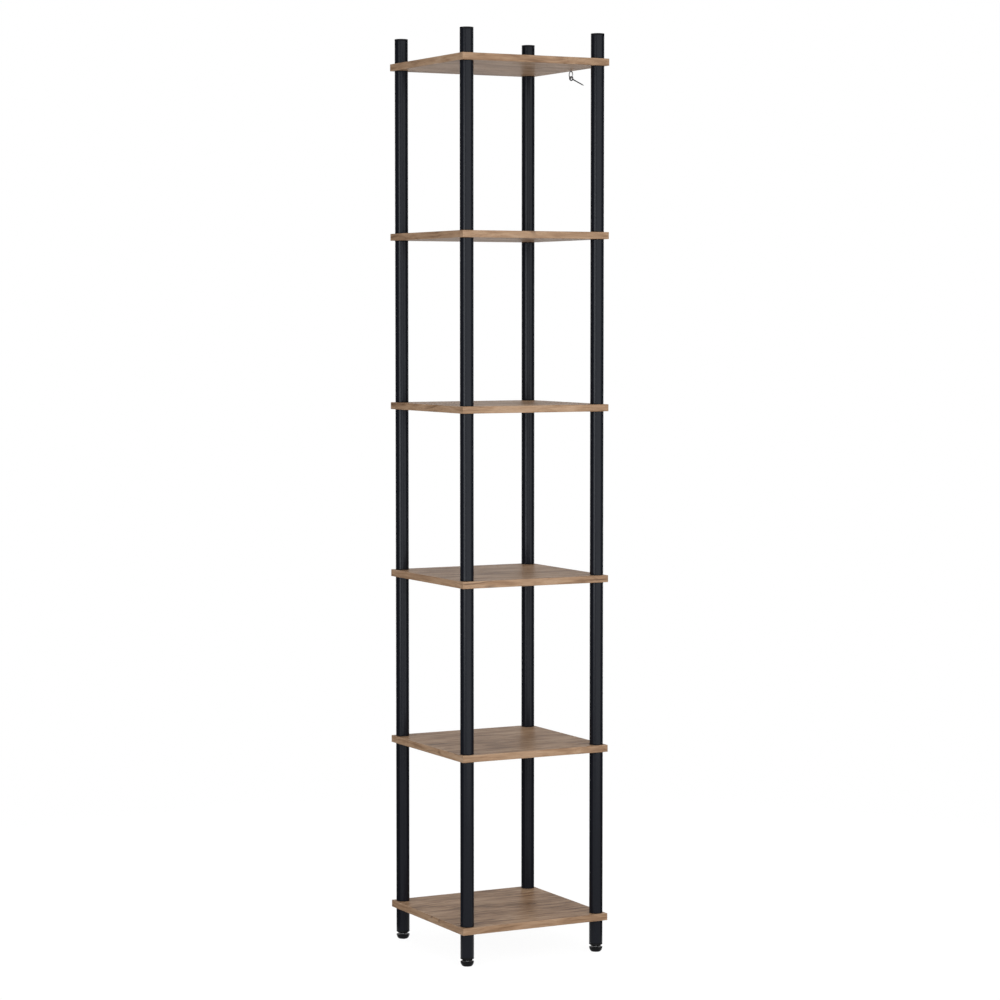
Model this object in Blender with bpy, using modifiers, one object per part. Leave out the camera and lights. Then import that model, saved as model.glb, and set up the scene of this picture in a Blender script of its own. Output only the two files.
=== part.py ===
"""Corner shelf unit: square boards clamped between screwed tubes, on levelling feet, with a wall tie.

Metres, +Z up. The origin is on the floor, under the middle of the boards. -Y is the front, and the
sides at +X and +Y stand against the walls of the corner.
"""
from math import cos, pi, radians, sin

import bmesh
import bpy
from mathutils import Matrix, Vector

# Shelf boards
SHELF_COUNT = 6
SHELF_SIDE = 0.350
SHELF_THICKNESS = 0.015
SHELF_EDGE_ROUND = 0.0006

# Post tubes, and the threaded studs and inserts fixed in their ends
POST_DIAMETER = 0.029
POST_WALL = 0.0012
POST_LENGTH = 0.352
POST_EDGE_MARGIN = 0.004
INSERT_DEPTH = 0.016
STUD_DIAMETER = 0.008
STUD_ENGAGEMENT = 0.014
STUD_POINT = 0.001

# Finial tubes and their end caps
FINIAL_LENGTH = 0.050
CAP_HEIGHT = 0.0028
CAP_EDGE_ROUND = 0.0009
CAP_SKIRT = 0.010
CAP_SKIRT_WALL = 0.002

# Leg tubes and the tapered plugs in their lower ends
LEG_LENGTH = 0.050
PLUG_RIM = 0.0028
PLUG_TAPER = 0.0036
PLUG_NOSE_DIAMETER = 0.019
PLUG_SKIRT = 0.018

# Levelling feet
STEM_DIAMETER = 0.008
STEM_LENGTH = 0.036
FOOT_GAP = 0.0023
FOOT_HEIGHT = 0.0099
FOOT_SOLE_DIAMETER = 0.0204
FOOT_SIDE_BOW = 0.0010
FOOT_SOCKET_FLOOR = 0.003

# Wall tie: a wire eye in the top board's underside, and the screw eye for the wall that it holds
EYE_EDGE_DISTANCE = 0.0135
EYE_OFF_MIDDLE = -0.0305
WIRE_DIAMETER = 0.0022
WIRE_RING_DIAMETER = 0.015
WIRE_NECK = 0.0021
WIRE_SHANK = 0.010
SCREW_DIAMETER = 0.0028
SCREW_RING_DIAMETER = 0.0077
SCREW_LENGTH = 0.029
SCREW_POINT_LENGTH = 0.005
SCREW_POINT_DIAMETER = 0.0006
SCREW_TILT = radians(24)

# Clearances
SEAT_GAP = 0.0003
THREAD_GAP = 0.0003
SKIRT_GAP = 0.0003

# Sides of a round piece, and steps of a rounded profile
SIDES = 20
ARC_STEPS = 3
BOW_STEPS = 5
RING_STEPS = 24
WIRE_SIDES = 8
SHARP_ANGLE = radians(35)

# Each corner's name and the signs of its place in x and y
CORNERS = {
    "front_left": (-1, -1),
    "front_right": (1, -1),
    "back_left": (-1, 1),
    "back_right": (1, 1),
}

# Heights, from the floor up
foot_top = FOOT_HEIGHT
plug_nose = foot_top + FOOT_GAP
plug_seat = plug_nose + PLUG_TAPER + PLUG_RIM
leg_bottom = plug_seat + SEAT_GAP
lowest_shelf = leg_bottom + LEG_LENGTH + SEAT_GAP
shelf_pitch = SHELF_THICKNESS + POST_LENGTH + 2 * SEAT_GAP
highest_shelf = lowest_shelf + (SHELF_COUNT - 1) * shelf_pitch
finial_bottom = highest_shelf + SHELF_THICKNESS + SEAT_GAP
cap_seat = finial_bottom + FINIAL_LENGTH + SEAT_GAP

# Radii that several pieces share
post_radius = POST_DIAMETER / 2
post_bore = post_radius - POST_WALL
stud_radius = STUD_DIAMETER / 2
stem_radius = STEM_DIAMETER / 2
wire_radius = WIRE_DIAMETER / 2
screw_radius = SCREW_DIAMETER / 2
post_axis = SHELF_SIDE / 2 - POST_EDGE_MARGIN - post_radius


def clear_of(radius, gap):
    """Radius of a many-sided bore whose flats stay the gap away from a round of this radius."""
    return (radius + gap) / cos(pi / SIDES)


def new_collection(name):
    collection = bpy.data.collections.new(name)
    bpy.context.scene.collection.children.link(collection)
    return collection


def new_material(name, colour, roughness, metallic):
    material = bpy.data.materials.new(name)
    material.use_nodes = True
    shader = material.node_tree.nodes["Principled BSDF"]
    shader.inputs["Base Color"].default_value = (*colour, 1.0)
    shader.inputs["Roughness"].default_value = roughness
    shader.inputs["Metallic"].default_value = metallic
    material.diffuse_color = (*colour, 1.0)
    return material


def place(name, data, collection, location, parent=None):
    piece = bpy.data.objects.new(name, data)
    piece.location = location
    piece.parent = parent
    collection.objects.link(piece)
    return piece


def rounded_edge(corner, size):
    """Points (radius, height) round an upper outer edge, from its flat top to its side."""
    angles = [pi / 2 * (1 - step / ARC_STEPS) for step in range(ARC_STEPS + 1)]
    return [(corner[0] - size + size * cos(a), corner[1] - size + size * sin(a)) for a in angles]


def bowed_side(top, bottom, bow):
    """Points (radius, height) down a side that bows out from the straight line between its ends."""
    fall = Vector((bottom[0] - top[0], bottom[1] - top[1]))
    outward = Vector((-fall.y, fall.x)).normalized()
    points = []
    for step in range(BOW_STEPS + 1):
        share = step / BOW_STEPS
        points.append(tuple(Vector(top) + share * fall + 4 * share * (1 - share) * bow * outward))
    return points


def turned(name, profile, material, closed=False, sides=SIDES):
    """Mesh of a profile of (radius, height) points spun about Z; it runs down its outer side."""
    outline = bpy.data.meshes.new(name + "_profile")
    links = [(i, i + 1) for i in range(len(profile) - 1)]
    if closed:
        links.append((len(profile) - 1, 0))
    outline.from_pydata([(radius, 0, height) for radius, height in profile], links, [])
    blank = bpy.data.objects.new(name + "_blank", outline)
    bpy.context.scene.collection.objects.link(blank)
    spin = blank.modifiers.new("spin", "SCREW")
    spin.steps = sides
    spin.render_steps = sides
    spin.use_merge_vertices = True
    spin.merge_threshold = 0.00001
    mesh = bpy.data.meshes.new_from_object(blank.evaluated_get(bpy.context.evaluated_depsgraph_get()))
    bpy.data.objects.remove(blank)
    mesh.name = name
    mesh.materials.append(material)
    mesh.shade_smooth()
    mesh.set_sharp_from_angle(angle=SHARP_ANGLE)
    return mesh


def stud_profile(seat):
    """Upper outline of a tube whose top face is at this height, from its stud's tip to its rim."""
    tip = seat + 2 * SEAT_GAP + SHELF_THICKNESS + STUD_ENGAGEMENT
    return [
        (0, tip),
        (stud_radius - STUD_POINT, tip),
        (stud_radius, tip - STUD_POINT),
        (stud_radius, seat),
        (post_radius, seat),
    ]


def socket_profile():
    """Lower outline of a tube, from its rim round its threaded insert to the inside of its wall."""
    thread = clear_of(stud_radius, THREAD_GAP)
    return [
        (post_radius, 0),
        (thread, 0),
        (thread, INSERT_DEPTH),
        (post_bore, INSERT_DEPTH),
    ]


def post_mesh(material):
    ceiling = POST_LENGTH - INSERT_DEPTH
    profile = stud_profile(POST_LENGTH) + socket_profile() + [(post_bore, ceiling), (0, ceiling)]
    return turned("post", profile, material)


def finial_mesh(material):
    profile = [(post_radius, FINIAL_LENGTH)] + socket_profile() + [(post_bore, FINIAL_LENGTH)]
    return turned("finial", profile, material, closed=True)


def cap_mesh(material):
    skirt = post_bore - SKIRT_GAP
    edge = rounded_edge((post_radius, CAP_HEIGHT), CAP_EDGE_ROUND)
    profile = [(0, CAP_HEIGHT)] + edge + [
        (post_radius, 0),
        (skirt, 0),
        (skirt, -CAP_SKIRT),
        (skirt - CAP_SKIRT_WALL, -CAP_SKIRT),
        (skirt - CAP_SKIRT_WALL, 0),
        (0, 0),
    ]
    return turned("finial_cap", profile, material)


def leg_mesh(material):
    ceiling = LEG_LENGTH - INSERT_DEPTH
    profile = stud_profile(LEG_LENGTH) + [
        (post_radius, 0),
        (post_bore, 0),
        (post_bore, ceiling),
        (0, ceiling),
    ]
    return turned("leg", profile, material)


def plug_mesh(material):
    skirt = post_bore - SKIRT_GAP
    thread = clear_of(stem_radius, THREAD_GAP)
    nose = -PLUG_RIM - PLUG_TAPER
    profile = [
        (skirt, PLUG_SKIRT),
        (skirt, 0),
        (post_radius, 0),
        (post_radius, -PLUG_RIM),
        (PLUG_NOSE_DIAMETER / 2, nose),
        (thread, nose),
        (thread, PLUG_SKIRT),
    ]
    return turned("leg_plug", profile, material, closed=True)


def stem_mesh(material):
    profile = [
        (0, STEM_LENGTH),
        (stem_radius - STUD_POINT, STEM_LENGTH),
        (stem_radius, STEM_LENGTH - STUD_POINT),
        (stem_radius, 0),
        (0, 0),
    ]
    return turned("foot_stem", profile, material)


def foot_mesh(material):
    """Shallow bowl with a flat sole, whose socket turns on the stem."""
    socket = clear_of(stem_radius, THREAD_GAP)
    side = bowed_side((post_radius, FOOT_HEIGHT), (FOOT_SOLE_DIAMETER / 2, 0), FOOT_SIDE_BOW)
    profile = [
        (0, FOOT_SOCKET_FLOOR),
        (socket, FOOT_SOCKET_FLOOR),
        (socket, FOOT_HEIGHT),
    ] + side + [(0, 0)]
    return turned("foot_base", profile, material)


def shelf_mesh(material):
    bm = bmesh.new()
    bmesh.ops.create_cube(bm, size=1.0)
    bmesh.ops.scale(bm, vec=(SHELF_SIDE, SHELF_SIDE, SHELF_THICKNESS), verts=bm.verts)
    bmesh.ops.translate(bm, vec=(0, 0, SHELF_THICKNESS / 2), verts=bm.verts)
    mesh = bpy.data.meshes.new("shelf")
    bm.to_mesh(mesh)
    bm.free()
    mesh.materials.append(material)
    return mesh


def make_guide(piece):
    piece.hide_render = True
    piece.display_type = "WIRE"


def rod(bm, radius, sides, bottom, top):
    """Upright rod between two points, one above the other."""
    middle = Matrix.Translation((bottom[0], bottom[1], (bottom[2] + top) / 2))
    bmesh.ops.create_cone(bm, cap_ends=True, segments=sides, radius1=radius, radius2=radius,
                          depth=top - bottom[2], matrix=middle)


def hole_cutter(name, holes, collection):
    """One guide for several upright holes, each given by its radius, sides, lower end and top height."""
    bm = bmesh.new()
    for radius, sides, bottom, top in holes:
        rod(bm, radius, sides, bottom, top)
    mesh = bpy.data.meshes.new(name)
    bm.to_mesh(mesh)
    bm.free()
    cutter = place(name, mesh, collection, (0, 0, 0))
    make_guide(cutter)
    return cutter


def add_boolean(piece, operation, operand):
    cut = piece.modifiers.new(operation.lower(), "BOOLEAN")
    cut.operation = operation
    cut.solver = "EXACT"
    cut.object = operand


def round_edges(piece):
    rounding = piece.modifiers.new("edge_round", "BEVEL")
    rounding.width = SHELF_EDGE_ROUND
    rounding.segments = 2
    rounding.limit_method = "ANGLE"


def make_shelves(parts, guides, material, eye_place):
    """Boards with a stud hole on every post axis; the top one also has the wire eye's pilot hole."""
    hole = clear_of(stud_radius, THREAD_GAP)
    over = SHELF_THICKNESS
    stud_holes = [
        (hole, SIDES, (sx * post_axis, sy * post_axis, lowest_shelf - over), highest_shelf + 2 * over)
        for sx, sy in CORNERS.values()
    ]
    stud_cutter = hole_cutter("stud_holes", stud_holes, guides)
    pilot = (wire_radius + SEAT_GAP) / cos(pi / WIRE_SIDES)
    pilot_end = highest_shelf + WIRE_SHANK + SEAT_GAP
    pilot_hole = (pilot, WIRE_SIDES, (*eye_place, highest_shelf - over), pilot_end)
    pilot_cutter = hole_cutter("pilot_hole", [pilot_hole], guides)
    for number in range(SHELF_COUNT):
        height = lowest_shelf + number * shelf_pitch
        board = place(f"shelf_{number + 1}", shelf_mesh(material), parts, (0, 0, height))
        round_edges(board)
        add_boolean(board, "DIFFERENCE", stud_cutter)
        if number == SHELF_COUNT - 1:
            add_boolean(board, "DIFFERENCE", pilot_cutter)


def make_corner(name, signs, parts, meshes):
    """One corner's leg, posts and finial, stacked on an upright axis with its levelling foot."""
    axis = place(f"axis_{name}", None, parts, (signs[0] * post_axis, signs[1] * post_axis, 0))
    place(f"foot_base_{name}", meshes["foot_base"], parts, (0, 0, 0), axis)
    place(f"foot_stem_{name}", meshes["foot_stem"], parts, (0, 0, FOOT_SOCKET_FLOOR + SEAT_GAP), axis)
    place(f"leg_plug_{name}", meshes["leg_plug"], parts, (0, 0, plug_seat), axis)
    place(f"leg_{name}", meshes["leg"], parts, (0, 0, leg_bottom), axis)
    for level in range(SHELF_COUNT - 1):
        seat = lowest_shelf + level * shelf_pitch + SHELF_THICKNESS + SEAT_GAP
        place(f"post_{name}_{level + 1}", meshes["post"], parts, (0, 0, seat), axis)
    place(f"finial_{name}", meshes["finial"], parts, (0, 0, finial_bottom), axis)
    place(f"finial_cap_{name}", meshes["finial_cap"], parts, (0, 0, cap_seat), axis)


def ring(name, diameter, wire, turn, material, parts):
    """Round wire ring about the origin, turned upright."""
    bpy.ops.mesh.primitive_torus_add(major_segments=RING_STEPS, minor_segments=WIRE_SIDES,
                                     major_radius=diameter / 2, minor_radius=wire)
    piece = bpy.context.active_object
    for collection in piece.users_collection:
        collection.objects.unlink(piece)
    parts.objects.link(piece)
    piece.name = name
    piece.data.name = name
    piece.data.transform(turn)
    piece.data.materials.append(material)
    return piece


def finish_ring(piece):
    piece.data.shade_smooth()
    piece.data.set_sharp_from_angle(angle=SHARP_ANGLE)


def make_wire_eye(parts, guides, material, eye_place, pin_height):
    """Eye of bent wire, parallel to the wall, whose shank is driven up into the top board."""
    middle = pin_height + WIRE_RING_DIAMETER / 2
    upright = Matrix.Rotation(pi / 2, 4, "Y")
    eye = ring("shelf_screw_eye", WIRE_RING_DIAMETER, wire_radius, upright, material, parts)
    eye.location = (*eye_place, middle)
    finish_ring(eye)
    shank = hole_cutter("wire_shank", [(
        wire_radius,
        WIRE_SIDES,
        (*eye_place, middle + WIRE_RING_DIAMETER / 2),
        highest_shelf + WIRE_SHANK,
    )], guides)
    add_boolean(eye, "UNION", shank)


def make_wall_eye(parts, guides, material, eye_place, pin_height):
    """Screw eye for the wall: its ring hangs on the wire, and its pointed shank leans down from level."""
    hole = SCREW_RING_DIAMETER / 2 - screw_radius
    slack = hole - wire_radius - SEAT_GAP
    upright = Matrix.Rotation(pi / 2, 4, "X")
    eye = ring("wall_screw_eye", SCREW_RING_DIAMETER, screw_radius, upright, material, parts)
    eye.data.transform(Matrix.Translation((slack, 0, 0)))
    eye.location = (*eye_place, pin_height)
    eye.rotation_euler = (0, SCREW_TILT, 0)
    finish_ring(eye)
    length = screw_radius + SCREW_LENGTH
    inside_ring = screw_radius * cos(pi / WIRE_SIDES)
    profile = [
        (0, length),
        (SCREW_POINT_DIAMETER / 2, length),
        (inside_ring, length - SCREW_POINT_LENGTH),
        (inside_ring, 0),
        (0, 0),
    ]
    mesh = turned("screw_shank", profile, material, sides=WIRE_SIDES)
    along_x = Matrix.Rotation(pi / 2, 4, "Y")
    mesh.transform(Matrix.Translation((slack + SCREW_RING_DIAMETER / 2, 0, 0)) @ along_x)
    shank = place("screw_shank", mesh, guides, eye.location)
    shank.rotation_euler = eye.rotation_euler
    make_guide(shank)
    add_boolean(eye, "UNION", shank)


def make_unit():
    for old in list(bpy.data.objects):
        bpy.data.objects.remove(old)
    parts = new_collection("corner_shelf_unit")
    guides = new_collection("cutters")

    oak = new_material("oak_melamine", (0.33, 0.22, 0.14), 0.45, 0.0)
    coated = new_material("black_powder_coat", (0.027, 0.028, 0.033), 0.42, 0.0)
    plastic = new_material("black_plastic", (0.010, 0.010, 0.012), 0.32, 0.0)
    steel = new_material("zinc_plated_steel", (0.62, 0.63, 0.64), 0.28, 1.0)
    dark_steel = new_material("blued_steel", (0.10, 0.10, 0.11), 0.38, 1.0)

    eye_place = (SHELF_SIDE / 2 - EYE_EDGE_DISTANCE, EYE_OFF_MIDDLE)
    pin_height = highest_shelf - WIRE_NECK - WIRE_RING_DIAMETER
    make_shelves(parts, guides, oak, eye_place)

    meshes = {
        "foot_base": foot_mesh(plastic),
        "foot_stem": stem_mesh(steel),
        "leg_plug": plug_mesh(plastic),
        "leg": leg_mesh(coated),
        "post": post_mesh(coated),
        "finial": finial_mesh(coated),
        "finial_cap": cap_mesh(plastic),
    }
    for name, signs in CORNERS.items():
        make_corner(name, signs, parts, meshes)

    make_wire_eye(parts, guides, steel, eye_place, pin_height)
    make_wall_eye(parts, guides, dark_steel, eye_place, pin_height)


make_unit()
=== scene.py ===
# Looks of a corner shelf unit: oak-effect boards clamped between black screw-together tubes, on levelling
# feet, with a wall tie under the top board. Metres, +Z up; -Y is the front.
import bmesh
import bpy
from math import atan2, cos, degrees, hypot, pi, radians, sin
from mathutils import Matrix, Vector


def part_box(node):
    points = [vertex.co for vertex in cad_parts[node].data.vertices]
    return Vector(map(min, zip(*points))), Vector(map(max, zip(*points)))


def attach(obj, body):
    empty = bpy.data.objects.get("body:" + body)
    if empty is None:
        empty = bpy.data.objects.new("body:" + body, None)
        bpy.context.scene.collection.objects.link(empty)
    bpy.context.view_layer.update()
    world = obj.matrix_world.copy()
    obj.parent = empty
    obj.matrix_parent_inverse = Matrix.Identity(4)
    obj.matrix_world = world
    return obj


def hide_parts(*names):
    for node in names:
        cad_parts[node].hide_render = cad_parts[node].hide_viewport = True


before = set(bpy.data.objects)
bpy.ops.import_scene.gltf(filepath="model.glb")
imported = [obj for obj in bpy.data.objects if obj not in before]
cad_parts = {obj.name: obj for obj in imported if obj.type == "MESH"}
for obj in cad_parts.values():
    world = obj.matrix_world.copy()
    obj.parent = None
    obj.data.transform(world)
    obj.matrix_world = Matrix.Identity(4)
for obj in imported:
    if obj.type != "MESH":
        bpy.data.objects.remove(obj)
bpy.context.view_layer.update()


# Shelf boards
# Six squares of chipboard pressed between two sheets of oak-effect melamine, sawn to size, edged, and
# drilled through at the corners for the studs that clamp them between the tubes.
SHELF_COUNT = 6
EDGING_THICKNESS = 0.0008
JOINT_CHAMFER = 0.00012
STUD_HOLE_RADIUS = 0.0043
PILOT_RADIUS = 0.0013
PILOT_DEPTH = 0.0103
DARK_GRAIN = (0.150, 0.084, 0.046, 1)
BROWN_GRAIN = (0.250, 0.151, 0.088, 1)
TAN_GRAIN = (0.345, 0.221, 0.136, 1)
PALE_GRAIN = (0.430, 0.298, 0.200, 1)
PORE_BROWN = (0.105, 0.060, 0.034, 1)
KNOT_BROWN = (0.060, 0.034, 0.020, 1)
FACE_FIGURE = 1.15
FACE_SHEEN = 0.03

CORNERS = {
    "front_left": (-1, -1),
    "front_right": (1, -1),
    "back_left": (-1, 1),
    "back_right": (1, 1),
}
shelf_boxes = [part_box(f"shelf_{number + 1}") for number in range(SHELF_COUNT)]
shelf_low, shelf_high = shelf_boxes[0]
shelf_side = shelf_high.x - shelf_low.x
shelf_thickness = shelf_high.z - shelf_low.z
post_low, post_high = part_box("post_front_right_1")
post_axis = (post_low.x + post_high.x) / 2


def new_piece(name):
    """Names the primitive just added and puts its place, turn and size into its mesh."""
    piece = bpy.context.active_object
    piece.name = name
    piece.data.name = name
    bpy.ops.object.transform_apply(location=True, rotation=True, scale=True)
    return piece


def add_block(name, size, middle):
    """Plain block to shape further."""
    bpy.ops.object.select_all(action="DESELECT")
    bpy.ops.mesh.primitive_cube_add(size=1, location=middle)
    bpy.context.active_object.scale = size
    return new_piece(name)


def edit(piece):
    """Enters edit mode on this piece alone."""
    bpy.ops.object.select_all(action="DESELECT")
    piece.select_set(True)
    bpy.context.view_layer.objects.active = piece
    bpy.ops.object.mode_set(mode="EDIT")


def done_editing():
    """Goes back to object mode."""
    bpy.ops.object.mode_set(mode="OBJECT")


def pick_edges(piece, wanted):
    """In edit mode, selects only the edges whose two ends are both wanted."""
    bpy.ops.mesh.select_mode(type="EDGE")
    bpy.ops.mesh.select_all(action="DESELECT")
    shape = bmesh.from_edit_mesh(piece.data)
    for edge in shape.edges:
        edge.select_set(all(wanted(end.co) for end in edge.verts))
    bmesh.update_edit_mesh(piece.data)


def pick_faces(piece, wanted):
    """In edit mode, selects only the faces whose corners are all wanted."""
    bpy.ops.mesh.select_mode(type="FACE")
    bpy.ops.mesh.select_all(action="DESELECT")
    shape = bmesh.from_edit_mesh(piece.data)
    for face in shape.faces:
        face.select_set(all(wanted(corner.co) for corner in face.verts))
    bmesh.update_edit_mesh(piece.data)


def cut_away(piece, cutter):
    """Cuts one piece out of another and throws the cutter away."""
    bpy.ops.object.select_all(action="DESELECT")
    piece.select_set(True)
    bpy.context.view_layer.objects.active = piece
    cut = piece.modifiers.new("cut", "BOOLEAN")
    cut.object = cutter
    cut.solver = "EXACT"
    bpy.ops.object.modifier_apply(modifier=cut.name)
    bpy.data.objects.remove(cutter)


def smooth(piece, angle=radians(35)):
    """Shades a piece smooth, but for edges sharper than the angle."""
    bpy.ops.object.select_all(action="DESELECT")
    piece.select_set(True)
    bpy.context.view_layer.objects.active = piece
    bpy.ops.object.shade_smooth_by_angle(angle=angle)


def copy_piece(piece, name, shift):
    """Copy with a mesh of its own, moved by this much."""
    twin = piece.copy()
    twin.data = piece.data.copy()
    twin.name = name
    twin.data.name = name
    twin.data.transform(Matrix.Translation(shift))
    bpy.context.collection.objects.link(twin)
    return twin


def dress(piece, material, body):
    """Gives a piece its finish and fixes it to a body."""
    piece.data.materials.clear()
    piece.data.materials.append(material)
    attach(piece, body)


def new_finish(name):
    """Material with a shader still to be set up."""
    material = bpy.data.materials.new(name)
    material.use_nodes = True
    return material


def add_node(material, kind, inputs, **settings):
    """Adds a shader node; each input is a value or the socket that feeds it."""
    node = material.node_tree.nodes.new(kind)
    for name, value in settings.items():
        setattr(node, name, value)
    for name, value in inputs.items():
        if isinstance(value, bpy.types.NodeSocket):
            material.node_tree.links.new(value, node.inputs[name])
        else:
            node.inputs[name].default_value = value
    return node


def object_place(material):
    """Object coordinates, which are the frame's own because every piece sits at the origin."""
    return add_node(material, "ShaderNodeTexCoord", {}).outputs["Object"]


def noise(material, place, scale, detail=2.0, roughness=0.5):
    """Noise over coordinates that are scaled by this much in x, y and z."""
    scaled = add_node(material, "ShaderNodeVectorMath", {0: place, 1: scale}, operation="MULTIPLY")
    inputs = {"Vector": scaled.outputs["Vector"], "Scale": 1.0, "Detail": detail, "Roughness": roughness}
    return add_node(material, "ShaderNodeTexNoise", inputs).outputs["Fac"]


def mapped(material, value, low, high, to_low, to_high):
    """Value carried over, and clamped, from one range to another."""
    inputs = {"Value": value, "From Min": low, "From Max": high, "To Min": to_low, "To Max": to_high}
    return add_node(material, "ShaderNodeMapRange", inputs).outputs["Result"]


def calc(material, operation, first, second):
    """Result of one sum on two values or sockets."""
    return add_node(material, "ShaderNodeMath", {0: first, 1: second}, operation=operation).outputs["Value"]


def mixed(material, share, first, second, blend="MIX"):
    """Colour between two others."""
    inputs = {0: share, 6: first, 7: second}
    return add_node(material, "ShaderNodeMix", inputs, data_type="RGBA", blend_type=blend).outputs[2]


def oak_decor(name, grain_turn, offset, figure, sheen):
    """Printed oak melamine, its grain along X before the turn about Z, with embossed pores.

    The figure is how strongly pale and dark wood differ, and the sheen is the level of its gloss.
    """
    oak = new_finish(name)
    shader = oak.node_tree.nodes["Principled BSDF"]
    turned = add_node(oak, "ShaderNodeMapping", {
        "Vector": object_place(oak),
        "Location": offset,
        "Rotation": (0, 0, grain_turn),
    }).outputs["Vector"]
    drift = mapped(oak, noise(oak, turned, (5.5, 13, 13)), 0, 1, -0.014, 0.014)
    shift = add_node(oak, "ShaderNodeCombineXYZ", {"Y": drift, "Z": drift}).outputs["Vector"]
    grain = add_node(oak, "ShaderNodeVectorMath", {0: turned, 1: shift}).outputs["Vector"]

    # Growth rings, cut slantwise into long arches
    across = add_node(oak, "ShaderNodeVectorMath", {0: grain, 1: (0, 60, 36)}, operation="DOT_PRODUCT")
    arches = mapped(oak, noise(oak, grain, (2.4, 7, 7)), 0, 1, 0, 7)
    rings = calc(oak, "FRACT", calc(oak, "ADD", across.outputs["Value"], arches), 0.0)
    rings = calc(oak, "MULTIPLY", rings, rings)

    # Smoky patches, bands, streaks and rings together choose the tone
    clouds = mapped(oak, noise(oak, grain, (6, 20, 20), 2, 0.5), 0.3, 0.7, 0, 0.33)
    bands = mapped(oak, noise(oak, grain, (10, 85, 85), 2, 0.5), 0.3, 0.7, 0, 0.27)
    streaks = mapped(oak, noise(oak, grain, (18, 250, 250), 2, 0.55), 0.3, 0.7, 0, 0.40)
    tone = calc(oak, "ADD", calc(oak, "ADD", clouds, bands), streaks)
    tone = calc(oak, "SUBTRACT", tone, mapped(oak, rings, 0, 1, 0, 0.12))
    tone = mapped(oak, tone, 0, 1, 0.5 - 0.5 * figure, 0.5 + 0.5 * figure)
    ramp = add_node(oak, "ShaderNodeValToRGB", {"Fac": tone})
    stops = ramp.color_ramp.elements
    stops[0].position = 0.16
    stops[0].color = DARK_GRAIN
    stops[1].position = 0.80
    stops[1].color = PALE_GRAIN
    stops.new(0.34).color = BROWN_GRAIN
    stops.new(0.52).color = TAN_GRAIN
    fibre = noise(oak, grain, (16, 850, 850), 2, 0.6)
    shade = mapped(oak, fibre, 0.25, 0.75, 0.88, 1.10)
    shade = add_node(oak, "ShaderNodeCombineXYZ", {"X": shade, "Y": shade, "Z": shade}).outputs["Vector"]
    colour = mixed(oak, 1.0, ramp.outputs["Color"], shade, "MULTIPLY")

    # Open pores, short cracks and a knot here and there
    pore = mapped(oak, noise(oak, grain, (60, 1900, 1900), 1), 0.60, 0.70, 0, 1)
    colour = mixed(oak, calc(oak, "MULTIPLY", pore, 0.42), colour, PORE_BROWN)
    crack = calc(oak, "SUBTRACT", noise(oak, grain, (4, 30, 30), 1), 0.5)
    crack = mapped(oak, calc(oak, "ABSOLUTE", crack, 0.0), 0.004, 0.014, 1, 0)
    crack = calc(oak, "MULTIPLY", crack, mapped(oak, noise(oak, turned, (9, 16, 16)), 0.56, 0.66, 0, 0.8))
    colour = mixed(oak, crack, colour, KNOT_BROWN)
    cells = add_node(oak, "ShaderNodeVectorMath", {0: grain, 1: (6, 9, 9)}, operation="MULTIPLY")
    knots = add_node(oak, "ShaderNodeTexVoronoi", {"Vector": cells.outputs["Vector"], "Scale": 1.0})
    chance = add_node(oak, "ShaderNodeSeparateColor", {"Color": knots.outputs["Color"]}).outputs["Red"]
    ragged = calc(oak, "ADD", knots.outputs["Distance"], mapped(oak, fibre, 0, 1, -0.05, 0.05))
    rare = mapped(oak, chance, 0.66, 0.67, 0, 1)
    knot = calc(oak, "MULTIPLY", rare, mapped(oak, ragged, 0.04, 0.13, 0.8, 0))
    colour = mixed(oak, knot, colour, KNOT_BROWN)
    oak.node_tree.links.new(colour, shader.inputs["Base Color"])

    oak.node_tree.links.new(mapped(oak, fibre, 0.2, 0.8, 0.34, 0.46), shader.inputs["Roughness"])
    shader.inputs["Specular IOR Level"].default_value = sheen
    embossing = {"Strength": 0.25, "Distance": 0.0002, "Height": pore}
    relief = add_node(oak, "ShaderNodeBump", embossing, invert=True)
    oak.node_tree.links.new(relief.outputs["Normal"], shader.inputs["Normal"])
    return oak


core_side = shelf_side - 2 * EDGING_THICKNESS
shelf_middle = (shelf_low + shelf_high) / 2
board = add_block("board_1", (core_side, core_side, shelf_thickness), shelf_middle)
edit(board)
pick_edges(board, lambda at: abs(at.z - shelf_high.z) < 1e-6)
bpy.ops.mesh.bevel(offset=JOINT_CHAMFER, segments=1, affect="EDGES")
pick_edges(board, lambda at: abs(at.z - shelf_low.z) < 1e-6)
bpy.ops.mesh.bevel(offset=JOINT_CHAMFER, segments=1, affect="EDGES")
done_editing()
for sx, sy in CORNERS.values():
    bpy.ops.object.select_all(action="DESELECT")
    bpy.ops.mesh.primitive_cylinder_add(vertices=32, radius=STUD_HOLE_RADIUS, depth=2 * shelf_thickness,
                                        location=(sx * post_axis, sy * post_axis, shelf_middle.z))
    cut_away(board, new_piece("stud_hole"))
boards = [board]
for number in range(1, SHELF_COUNT):
    rise = shelf_boxes[number][0].z - shelf_low.z
    boards.append(copy_piece(board, f"board_{number + 1}", (0, 0, rise)))
eye_low, eye_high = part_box("shelf_screw_eye")
eye_middle = (eye_low + eye_high) / 2
top_low = shelf_boxes[-1][0]
bpy.ops.object.select_all(action="DESELECT")
bpy.ops.mesh.primitive_cylinder_add(vertices=24, radius=PILOT_RADIUS, depth=2 * PILOT_DEPTH,
                                    location=(eye_middle.x, eye_middle.y, top_low.z))
cut_away(boards[-1], new_piece("pilot_hole"))
face_decor = oak_decor("oak_melamine", grain_turn=0, offset=(0.31, 0.07, 0.0),
                       figure=FACE_FIGURE, sheen=FACE_SHEEN)
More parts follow.
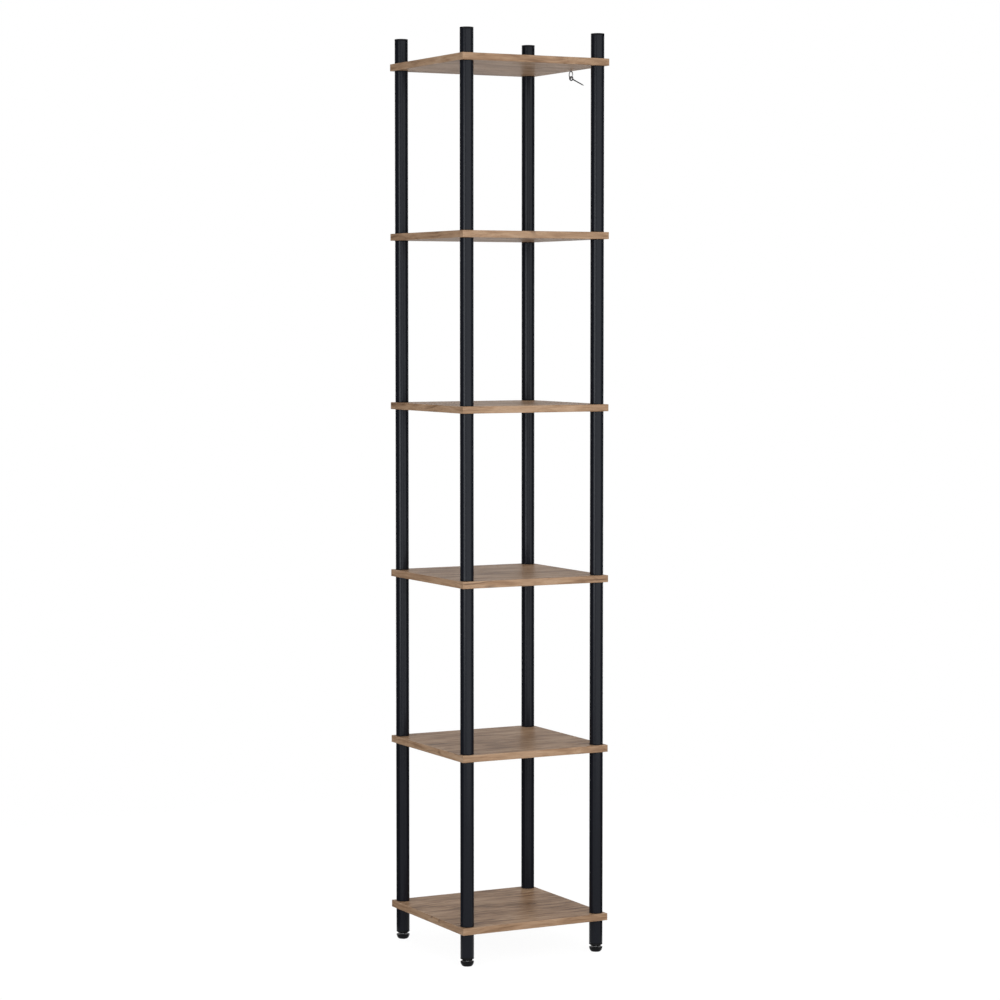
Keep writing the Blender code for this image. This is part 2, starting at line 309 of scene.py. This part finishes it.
for number, board in enumerate(boards):
    smooth(board)
    dress(board, face_decor, "unit")
    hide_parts(f"shelf_{number + 1}")


# Edging strips
# Each board's four sawn edges are covered by glued-on strips of the same oak print, with their arrises
# rounded over. The front and back strips run the full width and cover the ends of the side strips.
ARRIS = 0.00055
FLAT_MARGIN = 0.0004
EDGING_FIGURE = 0.7
EDGING_SHEEN = 0.12
edge_middle = (shelf_side - EDGING_THICKNESS) / 2
front_strip = add_block("edging_front_1", (shelf_side, EDGING_THICKNESS, shelf_thickness),
                        (0, -edge_middle, shelf_middle.z))
edit(front_strip)
pick_edges(front_strip, lambda at: at.y < -edge_middle)
bpy.ops.mesh.bevel(offset=ARRIS, segments=3, affect="EDGES")
pick_faces(front_strip, lambda at: at.y < -shelf_side / 2 + 1e-6)
bpy.ops.mesh.inset(thickness=FLAT_MARGIN)
done_editing()
left_strip = add_block("edging_left_1", (EDGING_THICKNESS, core_side, shelf_thickness),
                       (-edge_middle, 0, shelf_middle.z))
edit(left_strip)
for level in (shelf_low.z, shelf_high.z):
    pick_edges(left_strip, lambda at: at.x < -edge_middle and abs(at.z - level) < 1e-6)
    bpy.ops.mesh.bevel(offset=ARRIS, segments=3, affect="EDGES")
pick_faces(left_strip, lambda at: at.x < -shelf_side / 2 + 1e-6)
bpy.ops.mesh.inset(thickness=FLAT_MARGIN)
done_editing()
strips = {"front": front_strip, "left": left_strip}
for side, source in (("back", front_strip), ("right", left_strip)):
    strips[side] = copy_piece(source, f"edging_{side}_1", (0, 0, 0))
    strips[side].data.transform(Matrix.Rotation(pi, 4, "Z"))
along_x = oak_decor("oak_edging_along_front", grain_turn=0, offset=(0.43, 0.93, 0.17),
                    figure=EDGING_FIGURE, sheen=EDGING_SHEEN)
along_y = oak_decor("oak_edging_along_side", grain_turn=pi / 2, offset=(0.57, 0.31, 0.05),
                    figure=EDGING_FIGURE, sheen=EDGING_SHEEN)
for side, strip in strips.items():
    smooth(strip)
    column = [strip]
    for number in range(1, SHELF_COUNT):
        rise = shelf_boxes[number][0].z - shelf_low.z
        column.append(copy_piece(strip, f"edging_{side}_{number + 1}", (0, 0, rise)))
    decor = along_x if side in ("front", "back") else along_y
    for piece in column:
        dress(piece, decor, "unit")


# Post tubes
# Twenty long tubes between the boards, four short ones on top and four under the lowest board: steel tube,
# powder coated charcoal black, with a threaded insert pressed into each end that meets a board.
TUBE_SIDES = 64
TUBE_WALL = 0.0012
RIM_ROUND = 0.0005
RIM_BAND = 0.002
INSERT_RECESS = 0.0004
INSERT_DEPTH = 0.014
THREAD_HOLE_RADIUS = 0.0042
FINIAL_BORE_DEPTH = 0.030
LEG_BORE_DEPTH = 0.034
SEAT_GAP = 0.0003
CHARCOAL = (0.0060, 0.0066, 0.0095, 1)
CHARCOAL_FLECK = (0.0100, 0.0108, 0.0145, 1)
COAT_TINT = (0.90, 0.95, 1.0, 1)
COAT_GLOSS = 0.119
tube_radius = (post_high.x - post_low.x) / 2
tube_bore = tube_radius - TUBE_WALL


def turn_on_axis(name, outline, axis, closed=False, sides=TUBE_SIDES):
    """Draws an outline of (radius, height) points beside an upright axis, then spins it into a solid."""
    bpy.ops.object.select_all(action="DESELECT")
    bpy.ops.mesh.primitive_plane_add(size=0.001, location=(axis[0] + outline[0][0], axis[1], outline[0][1]))
    piece = new_piece(name)
    edit(piece)
    bpy.ops.mesh.select_mode(type="VERT")
    bpy.ops.mesh.select_all(action="SELECT")
    bpy.ops.mesh.merge(type="CENTER")
    for start, end in zip(outline, outline[1:]):
        step = (end[0] - start[0], 0, end[1] - start[1])
        bpy.ops.mesh.extrude_vertices_move(TRANSFORM_OT_translate={"value": step})
    if closed:
        step = (outline[0][0] - outline[-1][0], 0, outline[0][1] - outline[-1][1])
        bpy.ops.mesh.extrude_vertices_move(TRANSFORM_OT_translate={"value": step})
    bpy.ops.mesh.select_all(action="SELECT")
    bpy.ops.mesh.spin(steps=sides, angle=2 * pi, center=(axis[0], axis[1], 0), axis=(0, 0, 1))
    bpy.ops.mesh.select_all(action="SELECT")
    bpy.ops.mesh.remove_doubles(threshold=1e-6)
    bpy.ops.mesh.normals_make_consistent(inside=False)
    done_editing()
    return piece


def round_rims(piece, axis, rims, size, segments=3):
    """Rounds the circular edges that are given by their radius and height."""
    edit(piece)
    for radius, height in rims:
        pick_edges(piece, lambda at: abs(hypot(at.x - axis[0], at.y - axis[1]) - radius) < 2e-5
                   and abs(at.z - height) < 2e-5)
        bpy.ops.mesh.bevel(offset=size, segments=segments, affect="EDGES")
    done_editing()


def insert_end(end, inward):
    """Outline of a tube's closed end: rim, recessed insert and its threaded hole, from the rim inwards."""
    face = end + inward * INSERT_RECESS
    return [
        (tube_radius, end),
        (tube_bore, end),
        (tube_bore, face),
        (THREAD_HOLE_RADIUS, face),
        (THREAD_HOLE_RADIUS, face + inward * INSERT_DEPTH),
        (0, face + inward * INSERT_DEPTH),
    ]


def open_end(end, inward, depth):
    """Outline of a tube's open end: its rim and the bore behind it."""
    floor = end + inward * depth
    return [(tube_radius, end), (tube_bore, end), (tube_bore, floor), (0, floor)]


def make_tube(name, lower_end, upper_end, axis):
    """Tube from the outlines of its two ends; a ring beside each rim keeps the side straight."""
    side = [(tube_radius, lower_end[0][1] + RIM_BAND), (tube_radius, upper_end[0][1] - RIM_BAND)]
    tube = turn_on_axis(name, lower_end[::-1] + side + upper_end, axis)
    round_rims(tube, axis, [lower_end[0], upper_end[0]], RIM_ROUND)
    smooth(tube)
    return tube


def powder_coat():
    """Fine-grained satin powder coat: faint flecks, a slight orange peel and an uneven sheen."""
    coat = new_finish("charcoal_powder_coat")
    shader = coat.node_tree.nodes["Principled BSDF"]
    place = object_place(coat)
    fleck = noise(coat, place, (2600, 2600, 2600), 1)
    share = mapped(coat, fleck, 0.45, 0.75, 0, 0.8)
    coat.node_tree.links.new(mixed(coat, share, CHARCOAL, CHARCOAL_FLECK), shader.inputs["Base Color"])
    cloud = noise(coat, place, (30, 30, 9), 3)
    coat.node_tree.links.new(mapped(coat, cloud, 0.3, 0.7, 0.20, 0.26), shader.inputs["Roughness"])
    shader.inputs["Specular IOR Level"].default_value = COAT_GLOSS
    shader.inputs["Specular Tint"].default_value = COAT_TINT
    peel = noise(coat, place, (700, 700, 700), 2)
    relief = add_node(coat, "ShaderNodeBump", {"Strength": 0.05, "Distance": 0.0002, "Height": peel})
    coat.node_tree.links.new(relief.outputs["Normal"], shader.inputs["Normal"])
    return coat


first_corner = (-post_axis, -post_axis)
post_bottom = shelf_high.z + SEAT_GAP
post_top = shelf_boxes[1][0].z - SEAT_GAP
post = make_tube("tube_1", insert_end(post_bottom, inward=1), insert_end(post_top, inward=-1),
                 first_corner)
finial_low, finial_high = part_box("finial_front_left")
finial = make_tube("finial_tube", insert_end(finial_low.z, inward=1),
                   open_end(finial_high.z, inward=-1, depth=FINIAL_BORE_DEPTH), first_corner)
leg_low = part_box("leg_front_left")[0]
leg_top = shelf_low.z - SEAT_GAP
leg = make_tube("leg_tube", open_end(leg_low.z, inward=1, depth=LEG_BORE_DEPTH),
                insert_end(leg_top, inward=-1), first_corner)
coat = powder_coat()


def to_corners(source, name, node, finish, rise=0.0, body="unit"):
    """Copies a piece from the front left corner to all four, in place of a CAD node where it has one."""
    for corner, (sx, sy) in CORNERS.items():
        shift = ((sx + 1) * post_axis, (sy + 1) * post_axis, rise)
        piece = copy_piece(source, name.format(corner), shift)
        dress(piece, finish, body.format(corner))
        if node:
            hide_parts(node.format(corner))


shelf_pitch = shelf_boxes[1][0].z - shelf_low.z
for level in range(SHELF_COUNT - 1):
    to_corners(post, "post_tube_{}_" + str(level + 1), "post_{}_" + str(level + 1), coat,
               level * shelf_pitch)
to_corners(finial, "finial_tube_{}", "finial_{}", coat)
to_corners(leg, "leg_tube_{}", "leg_{}", coat)
for source in (post, finial, leg):
    bpy.data.objects.remove(source)


# Threaded studs
# A short length of zinc-plated threaded rod in the upper end of each leg and long tube. It passes through
# the board above and screws into the next tube's insert, so that the tubes clamp the board.
STUD_RADIUS = 0.0040
THREAD_PITCH = 0.00125
THREAD_RIDGE = 0.00045
THREAD_DEPTH = 0.00054
STUD_POINT = 0.0008
STUD_ROOT_DEPTH = 0.012
ROD_SIDES = 32
POINTS_PER_TURN = 20
ZINC = (0.76, 0.77, 0.78, 1)
ZINC_DULL = (0.52, 0.53, 0.54, 1)


def wire_piece(name, points, radius, resolution, radii=None):
    """Wire along a row of points, as a mesh with closed ends; at resolution 0 its section is square."""
    bpy.ops.object.select_all(action="DESELECT")
    bpy.ops.curve.primitive_nurbs_path_add()
    piece = bpy.context.active_object
    curve = piece.data
    curve.splines.clear()
    spline = curve.splines.new("POLY")
    spline.points.add(len(points) - 1)
    for number, point in enumerate(points):
        spline.points[number].co = (*point, 1)
        spline.points[number].radius = radii[number] if radii else 1
    curve.dimensions = "3D"
    curve.bevel_depth = radius
    curve.bevel_resolution = resolution
    curve.use_fill_caps = True
    bpy.ops.object.convert(target="MESH")
    piece = new_piece(name)
    edit(piece)
    bpy.ops.mesh.select_all(action="SELECT")
    bpy.ops.mesh.remove_doubles(threshold=1e-7)
    bpy.ops.mesh.normals_make_consistent(inside=False)
    done_editing()
    return piece


def join(pieces):
    """Makes one piece of several."""
    bpy.ops.object.select_all(action="DESELECT")
    for piece in pieces:
        piece.select_set(True)
    bpy.context.view_layer.objects.active = pieces[0]
    bpy.ops.object.join()
    return pieces[0]


def threaded_rod(name, bottom, top, axis, radius=STUD_RADIUS):
    """Rod with a chamfered tip and a wound thread ridge of the standard coarse pitch."""
    root = radius - THREAD_DEPTH
    outline = [(0, top), (root - STUD_POINT, top), (root, top - STUD_POINT), (root, bottom), (0, bottom)]
    rod = turn_on_axis(name, outline, axis, sides=ROD_SIDES)
    crest = radius - THREAD_RIDGE
    start, end = bottom + 2 * THREAD_RIDGE, top - STUD_POINT - THREAD_RIDGE
    steps = int((end - start) / THREAD_PITCH * POINTS_PER_TURN)
    points = []
    for step in range(steps + 1):
        angle = 2 * pi * step / POINTS_PER_TURN
        height = start + THREAD_PITCH * step / POINTS_PER_TURN
        points.append((axis[0] + crest * cos(angle), axis[1] + crest * sin(angle), height))
    thread = wire_piece(name + "_thread", points, THREAD_RIDGE, resolution=0)
    rod = join([rod, thread])
    smooth(rod)
    return rod


def zinc_plate(name, bright, dull, smoothest, roughest):
    """Zinc plating, a little clouded, with fine drawn lines round the rod."""
    zinc = new_finish(name)
    shader = zinc.node_tree.nodes["Principled BSDF"]
    shader.inputs["Metallic"].default_value = 1.0
    place = object_place(zinc)
    cloud = noise(zinc, place, (420, 420, 420), 4)
    colour = mixed(zinc, mapped(zinc, cloud, 0.35, 0.7, 0, 1), bright, dull)
    zinc.node_tree.links.new(colour, shader.inputs["Base Color"])
    lines = noise(zinc, place, (300, 300, 9000), 2)
    roughness = mapped(zinc, lines, 0.3, 0.7, smoothest, roughest)
    zinc.node_tree.links.new(roughness, shader.inputs["Roughness"])
    relief = add_node(zinc, "ShaderNodeBump", {"Strength": 0.08, "Distance": 0.00005, "Height": lines})
    zinc.node_tree.links.new(relief.outputs["Normal"], shader.inputs["Normal"])
    return zinc


zinc = zinc_plate("zinc_plated_steel", ZINC, ZINC_DULL, smoothest=0.60, roughest=0.72)
# In the CAD a tube and its stud are one node, so the tube's box ends at the stud's tip
stud = threaded_rod("stud", post_top - STUD_ROOT_DEPTH, post_high.z, first_corner)
for level in range(SHELF_COUNT):
    to_corners(stud, "stud_{}_" + str(level + 1), None, zinc, (level - 1) * shelf_pitch)
bpy.data.objects.remove(stud)


# Finial caps
# Four thin discs of black plastic that close the tops of the finial tubes. A hollow skirt under each one is
# pressed into the tube, and the upper edge is rounded.
CAP_EDGE_ROUND = 0.0009
CAP_SEAM_ROUND = 0.0002
CAP_SKIRT_WALL = 0.002
SKIRT_GAP = 0.0003
BLACK_PLASTIC = (0.0036, 0.0036, 0.0042, 1)
BLACK_PLASTIC_WORN = (0.0062, 0.0062, 0.0070, 1)
cap_low, cap_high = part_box("finial_cap_front_left")
cap_seat = finial_high.z + SEAT_GAP
skirt_radius = tube_bore - SKIRT_GAP


def black_plastic(name, smoothest, roughest, gloss):
    """Injection-moulded black plastic with a fine spark-eroded grain."""
    plastic = new_finish(name)
    shader = plastic.node_tree.nodes["Principled BSDF"]
    place = object_place(plastic)
    grain = noise(plastic, place, (3000, 3000, 3000), 2)
    colour = mixed(plastic, mapped(plastic, grain, 0.35, 0.7, 0, 1), BLACK_PLASTIC, BLACK_PLASTIC_WORN)
    plastic.node_tree.links.new(colour, shader.inputs["Base Color"])
    cloud = noise(plastic, place, (160, 160, 160), 3)
    roughness = mapped(plastic, cloud, 0.3, 0.7, smoothest, roughest)
    plastic.node_tree.links.new(roughness, shader.inputs["Roughness"])
    shader.inputs["Specular IOR Level"].default_value = gloss
    relief = add_node(plastic, "ShaderNodeBump", {"Strength": 0.06, "Distance": 0.0001, "Height": grain})
    plastic.node_tree.links.new(relief.outputs["Normal"], shader.inputs["Normal"])
    return plastic


cap = turn_on_axis("cap", [
    (0, cap_high.z),
    (tube_radius - RIM_BAND, cap_high.z),
    (tube_radius, cap_high.z),
    (tube_radius, cap_seat),
    (skirt_radius, cap_seat),
    (skirt_radius, cap_low.z),
    (skirt_radius - CAP_SKIRT_WALL, cap_low.z),
    (skirt_radius - CAP_SKIRT_WALL, cap_seat),
    (0, cap_seat),
], first_corner)
round_rims(cap, first_corner, [(tube_radius, cap_high.z)], CAP_EDGE_ROUND, segments=4)
round_rims(cap, first_corner, [(tube_radius, cap_seat)], CAP_SEAM_ROUND, segments=2)
smooth(cap)
matt_plastic = black_plastic("black_end_plastic", smoothest=0.42, roughest=0.5, gloss=0.1)
to_corners(cap, "end_cap_{}", "finial_cap_{}", matt_plastic)
bpy.data.objects.remove(cap)


# Leg plugs
# Four black plastic plugs in the lower ends of the leg tubes: a rim that lies against the tube, a tapered
# nose below it, a skirt inside the tube and a threaded bore for the foot's stem.
PLUG_RIM = 0.0028
NOSE_RADIUS = 0.0095
BORE_RADIUS = 0.0044
NOSE_ROUND = 0.0005
RIM_EDGE_ROUND = 0.0003
plug_low, plug_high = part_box("leg_plug_front_left")
plug_seat = leg_low.z - SEAT_GAP
plug = turn_on_axis("plug", [
    (skirt_radius, plug_high.z),
    (skirt_radius, plug_seat),
    (tube_radius, plug_seat),
    (tube_radius, plug_seat - PLUG_RIM),
    (NOSE_RADIUS, plug_low.z),
    (BORE_RADIUS, plug_low.z),
    (BORE_RADIUS, plug_high.z),
], first_corner, closed=True)
for height in (plug_seat, plug_seat - PLUG_RIM):
    round_rims(plug, first_corner, [(tube_radius, height)], RIM_EDGE_ROUND)
round_rims(plug, first_corner, [(NOSE_RADIUS, plug_low.z)], NOSE_ROUND)
smooth(plug)
to_corners(plug, "plug_{}", "leg_plug_{}", matt_plastic)
bpy.data.objects.remove(plug)


# Foot stems
# Four lengths of zinc-plated threaded rod, moulded into the feet. Each screws up into its leg plug, so that
# turning the foot levels the unit.
stem_low, stem_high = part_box("foot_stem_front_left")
stem = threaded_rod("stem", stem_low.z, stem_high.z, first_corner)
to_corners(stem, "threaded_stem_{}", "foot_stem_{}", zinc, body="stem_{}")
bpy.data.objects.remove(stem)


# Foot bases
# Four shallow bowls of half-gloss black plastic that stand on the floor. Their sides bow out from the flat
# sole to a rim as wide as the tube, and a collar holds the stem.
SOLE_RADIUS = 0.0102
SIDE_BOW = 0.0010
BOW_STEPS = 12
SOCKET_RADIUS = 0.0044
SOCKET_FLOOR = 0.003
FOOT_RIM_ROUND = 0.0006
SOLE_ROUND = 0.0005
base_low, base_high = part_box("foot_base_front_left")
fall = Vector((SOLE_RADIUS - tube_radius, base_low.z - base_high.z))
outward = Vector((-fall.y, fall.x)).normalized()
bowed_side = []
for step in range(BOW_STEPS + 1):
    share = step / BOW_STEPS
    point = Vector((tube_radius, base_high.z)) + share * fall + 4 * share * (1 - share) * SIDE_BOW * outward
    bowed_side.append((point.x, point.y))
base = turn_on_axis("base", [
    (0, base_low.z + SOCKET_FLOOR),
    (SOCKET_RADIUS, base_low.z + SOCKET_FLOOR),
    (SOCKET_RADIUS, base_high.z),
    (tube_radius - RIM_BAND, base_high.z),
] + bowed_side + [(0, base_low.z)], first_corner)
round_rims(base, first_corner, [bowed_side[0]], FOOT_RIM_ROUND)
round_rims(base, first_corner, [bowed_side[-1]], SOLE_ROUND)
smooth(base, angle=radians(30))
gloss_plastic = black_plastic("black_foot_plastic", smoothest=0.30, roughest=0.40, gloss=0.08)
to_corners(base, "foot_{}", "foot_base_{}", gloss_plastic, body="base_{}")
bpy.data.objects.remove(base)


# Wire eye
# A screw eye bent from dull zinc-plated wire, driven up into the top board's underside beside the wall.
# Its loop is closed up to the neck and holds the wall's screw eye.
WIRE_RADIUS = 0.0011
LOOP_RADIUS = 0.0075
LOOP_STEPS = 48
LOOP_START = radians(6)
LOOP_GAP = radians(16)
NECK_RISE = 0.0014
WIRE_RESOLUTION = 4
WIRE_GREY = (0.33, 0.33, 0.34, 1)
WIRE_GREY_DULL = (0.25, 0.25, 0.26, 1)
loop_middle = Vector((eye_middle.x, eye_middle.y, eye_low.z + WIRE_RADIUS + LOOP_RADIUS))
points = [(loop_middle.x, loop_middle.y, eye_high.z)]
points.append((loop_middle.x, loop_middle.y, loop_middle.z + LOOP_RADIUS + NECK_RISE))
for step in range(LOOP_STEPS + 1):
    angle = pi / 2 + LOOP_START + (2 * pi - LOOP_GAP) * step / LOOP_STEPS
    points.append(loop_middle + LOOP_RADIUS * Vector((0, cos(angle), sin(angle))))
wire_eye = wire_piece("wire_eye", points, WIRE_RADIUS, WIRE_RESOLUTION)
smooth(wire_eye)
dull_wire = zinc_plate("dull_zinc_wire", WIRE_GREY, WIRE_GREY_DULL, smoothest=0.42, roughest=0.55)
dress(wire_eye, dull_wire, "unit")
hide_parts("shelf_screw_eye")


# Wall eye
# A short screw eye of dark blued steel that hangs in the wire eye, ready to be screwed into the wall: a
# closed ring on an even shank with a wood-screw thread and a short point.
SCREW_RADIUS = 0.0014
RING_RADIUS = 0.00385
RING_START = radians(8)
NECK_LENGTH = 0.0012
SHANK_LENGTH = 0.029
ROOT_SHARE = 0.76
TIP_SHARE = 0.20
POINT_LENGTH = 0.005
SCREW_TILT = radians(24)
RING_SLACK = 0.00105
SCREW_PITCH = 0.0016
SCREW_RIDGE = 0.00030
RIDGE_LIFT = 0.00009
THREAD_START = 0.009
THREAD_END_MARGIN = 0.001
SHOULDER_LENGTH = 0.001
FADING_TURNS = 2
FADED_SHARE = 0.7
BLUED = (0.010, 0.0105, 0.012, 1)
BLUED_WORN = (0.032, 0.032, 0.035, 1)
pin = Vector((loop_middle.x, loop_middle.y, loop_middle.z - LOOP_RADIUS))
along = Vector((cos(SCREW_TILT), 0, -sin(SCREW_TILT)))
upward = Vector((sin(SCREW_TILT), 0, cos(SCREW_TILT)))
sideways = Vector((0, 1, 0))
ring_middle = pin + RING_SLACK * along
points, radii = [], []
for step in range(LOOP_STEPS + 1):
    angle = RING_START + (2 * pi - LOOP_GAP) * step / LOOP_STEPS
    points.append(ring_middle + RING_RADIUS * (cos(angle) * along + sin(angle) * upward))
    radii.append(1.0)
screw_end = SHANK_LENGTH + SCREW_RADIUS


def root_share(reach):
    """Share of the wire's radius this far along the threaded part, which ends in a point."""
    return min(ROOT_SHARE, TIP_SHARE + (ROOT_SHARE - TIP_SHARE) * (screw_end - reach) / POINT_LENGTH)


shank = [(NECK_LENGTH, 1.0), (THREAD_START - SHOULDER_LENGTH, 1.0)]
for reach in (THREAD_START, screw_end - POINT_LENGTH, screw_end):
    shank.append((reach, root_share(reach)))
for reach, share in shank:
    points.append(ring_middle + (RING_RADIUS + reach) * along)
    radii.append(share)
wall_eye = wire_piece("wall_eye", points, SCREW_RADIUS, WIRE_RESOLUTION, radii)
thread_points, thread_radii = [], []
thread_length = screw_end - THREAD_START - THREAD_END_MARGIN
steps = int(thread_length / SCREW_PITCH * POINTS_PER_TURN)
for step in range(steps + 1):
    reach = THREAD_START + thread_length * step / steps
    size = SCREW_RADIUS * root_share(reach) + RIDGE_LIFT
    angle = 2 * pi * step / POINTS_PER_TURN
    thread_points.append(ring_middle + (RING_RADIUS + reach) * along
                         + size * (cos(angle) * upward + sin(angle) * sideways))
    thread_radii.append(1.0 if step < steps - FADING_TURNS * POINTS_PER_TURN else FADED_SHARE)
screw_thread = wire_piece("wall_eye_thread", thread_points, SCREW_RIDGE, resolution=0, radii=thread_radii)
wall_eye = join([wall_eye, screw_thread])
smooth(wall_eye)
blued = new_finish("blued_steel")
shader = blued.node_tree.nodes["Principled BSDF"]
shader.inputs["Metallic"].default_value = 1.0
place = object_place(blued)
worn = mapped(blued, noise(blued, place, (500, 500, 500), 4), 0.45, 0.72, 0, 1)
blued.node_tree.links.new(mixed(blued, worn, BLUED, BLUED_WORN), shader.inputs["Base Color"])
blued.node_tree.links.new(mapped(blued, worn, 0, 1, 0.42, 0.28), shader.inputs["Roughness"])
dress(wall_eye, blued, "wall_eye")
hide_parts("wall_screw_eye")


# Floor, light and camera
# A plain white floor in a white studio: a broad softbox and a bright strip at either side of the camera,
# two panels behind the unit, a fill at its right and a ceiling panel. Dark curtains at the sides, their
# lower edge laid out over the floor, darken the tubes' rims and are seen only in reflections.
FLOOR_SIDE = 60
FLOOR_WHITE = (0.42, 0.42, 0.42, 1)
FLOOR_CLEAR_SHARE = 0.80
FLOOR_LIFT = 1.19
SHADOW_REACH = 0.5
FADE_REACH = 2.0
WORLD_LIGHT = 0.38
CEILING_HEIGHT = 3.6
CURTAIN_REACH = 4.6
CURTAIN_HEIGHT = 3.6
CURTAIN_LIFT = 0.002
CURTAIN_BEARINGS = ((-166, -55), (78, 166))
CLOTH_BLACK = (0.02, 0.02, 0.02, 1)
APRON_SHARE = 0.07
CAMERA_LENS = 105.798
CAMERA_PLACE = (-2.9512, -5.6471, 1.3822)
CAMERA_TURN = radians(-27.6229)
CAMERA_TILT = radians(3.6415)
bpy.ops.object.select_all(action="DESELECT")
bpy.ops.mesh.primitive_plane_add(size=FLOOR_SIDE)
floor = new_piece("floor")


def seen_directly(material):
    """1 for what the camera sees, also in a reflection, and 0 for light on other things."""
    path = add_node(material, "ShaderNodeLightPath", {})
    share = calc(material, "MAXIMUM", path.outputs["Is Camera Ray"], path.outputs["Is Glossy Ray"])
    return calc(material, "MAXIMUM", share, path.outputs["Is Transmission Ray"])


# The studio's white shows through most of the floor, and with it a foot that is screwed out below it
white = new_finish("white_floor")
white.node_tree.nodes.remove(white.node_tree.nodes["Principled BSDF"])
reach = add_node(white, "ShaderNodeVectorMath", {0: object_place(white)}, operation="LENGTH")
reach = reach.outputs["Value"]
clear_share = mapped(white, reach, SHADOW_REACH, FADE_REACH, FLOOR_CLEAR_SHARE, 1.0)
clear_share = calc(white, "MULTIPLY", seen_directly(white), clear_share)
matt = add_node(white, "ShaderNodeBsdfDiffuse", {"Color": FLOOR_WHITE})
lift = mapped(white, reach, SHADOW_REACH, FADE_REACH, FLOOR_LIFT, 1.0)
lift = add_node(white, "ShaderNodeCombineXYZ", {"X": lift, "Y": lift, "Z": lift}).outputs["Vector"]
clear = add_node(white, "ShaderNodeBsdfTransparent", {"Color": lift})
blend = add_node(white, "ShaderNodeMixShader", {0: clear_share, 1: matt.outputs[0], 2: clear.outputs[0]})
white.node_tree.links.new(blend.outputs[0], white.node_tree.nodes["Material Output"].inputs["Surface"])
floor.data.materials.append(white)

studio = bpy.data.worlds.new("studio")
bpy.context.scene.world = studio
studio.use_nodes = True
background = studio.node_tree.nodes["Background"]
background.inputs["Color"].default_value = (1, 1, 1, 1)
strength = mapped(studio, seen_directly(studio), 0, 1, WORLD_LIGHT, 1.0)
studio.node_tree.links.new(strength, background.inputs["Strength"])


def soft_light(name, width, height, radiance):
    """Soft rectangular light that shines straight down, with this brightness all over."""
    light = bpy.data.lights.new(name, "AREA")
    light.shape = "RECTANGLE"
    light.size = width
    light.size_y = height
    light.energy = radiance * pi * width * height
    lamp = bpy.data.objects.new(name, light)
    lamp.visible_camera = False
    bpy.context.collection.objects.link(lamp)
    return lamp


def softbox(name, bearing, distance, width, bottom, top, radiance):
    """Upright soft light that faces the unit; its bearing is in degrees to the right of the camera."""
    lamp = soft_light(name, width, top - bottom, radiance)
    angle = CAMERA_TURN - pi / 2 + radians(bearing)
    lamp.location = (distance * cos(angle), distance * sin(angle), (bottom + top) / 2)
    lamp.rotation_euler = (pi / 2, 0, angle + pi / 2)
    return lamp


softbox("key_light", bearing=30, distance=2.4, width=4.32, bottom=0.03, top=2.4, radiance=1.95)
softbox("strip_light", bearing=-38, distance=3.2, width=1.3, bottom=0.28, top=2.1, radiance=6.3)
for name, bearing in (("back_left_light", -150), ("back_right_light", 150)):
    softbox(name, bearing, distance=3.2, width=0.8, bottom=0.05, top=2.7, radiance=2.4)
side_fill = softbox("side_fill", bearing=112, distance=3.2, width=2.0, bottom=0.05, top=2.7, radiance=0.8)
side_fill.visible_glossy = False
ceiling = soft_light("ceiling_light", width=3.0, height=3.0, radiance=0.8)
ceiling.location = (0, 0, CEILING_HEIGHT)

bpy.ops.object.select_all(action="DESELECT")
curtain_middle = (0, 0, CURTAIN_HEIGHT / 2 + CURTAIN_LIFT)
bpy.ops.mesh.primitive_cylinder_add(vertices=72, radius=CURTAIN_REACH, depth=CURTAIN_HEIGHT,
                                    end_fill_type="NOTHING", location=curtain_middle)
curtain = new_piece("dark_curtains")
edit(curtain)
bpy.ops.mesh.select_mode(type="FACE")
bpy.ops.mesh.select_all(action="DESELECT")
shape = bmesh.from_edit_mesh(curtain.data)
for face in shape.faces:
    middle = face.calc_center_median()
    bearing = degrees(atan2(middle.y, middle.x) - CAMERA_TURN + pi / 2)
    bearing = (bearing + 180) % 360 - 180
    face.select_set(not any(first < bearing < last for first, last in CURTAIN_BEARINGS))
bmesh.update_edit_mesh(curtain.data)
bpy.ops.mesh.delete(type="FACE")
pick_edges(curtain, lambda at: at.z < 0.01)
bpy.ops.mesh.extrude_edges_move()
bpy.ops.transform.resize(value=(APRON_SHARE, APRON_SHARE, 1), center_override=(0, 0, 0))
done_editing()
black_cloth = new_finish("black_cloth")
black_cloth.node_tree.nodes["Principled BSDF"].inputs["Base Color"].default_value = CLOTH_BLACK
curtain.data.materials.append(black_cloth)
curtain.visible_camera = False
curtain.visible_diffuse = False
curtain.visible_shadow = False
curtain.visible_transmission = False

camera_data = bpy.data.cameras.new("camera")
camera_data.lens = CAMERA_LENS
camera = bpy.data.objects.new("camera", camera_data)
camera.location = CAMERA_PLACE
camera.rotation_euler = (pi / 2 - CAMERA_TILT, 0, CAMERA_TURN)
bpy.context.collection.objects.link(camera)
bpy.context.scene.camera = camera
bpy.context.scene.view_settings.view_transform = "Standard"
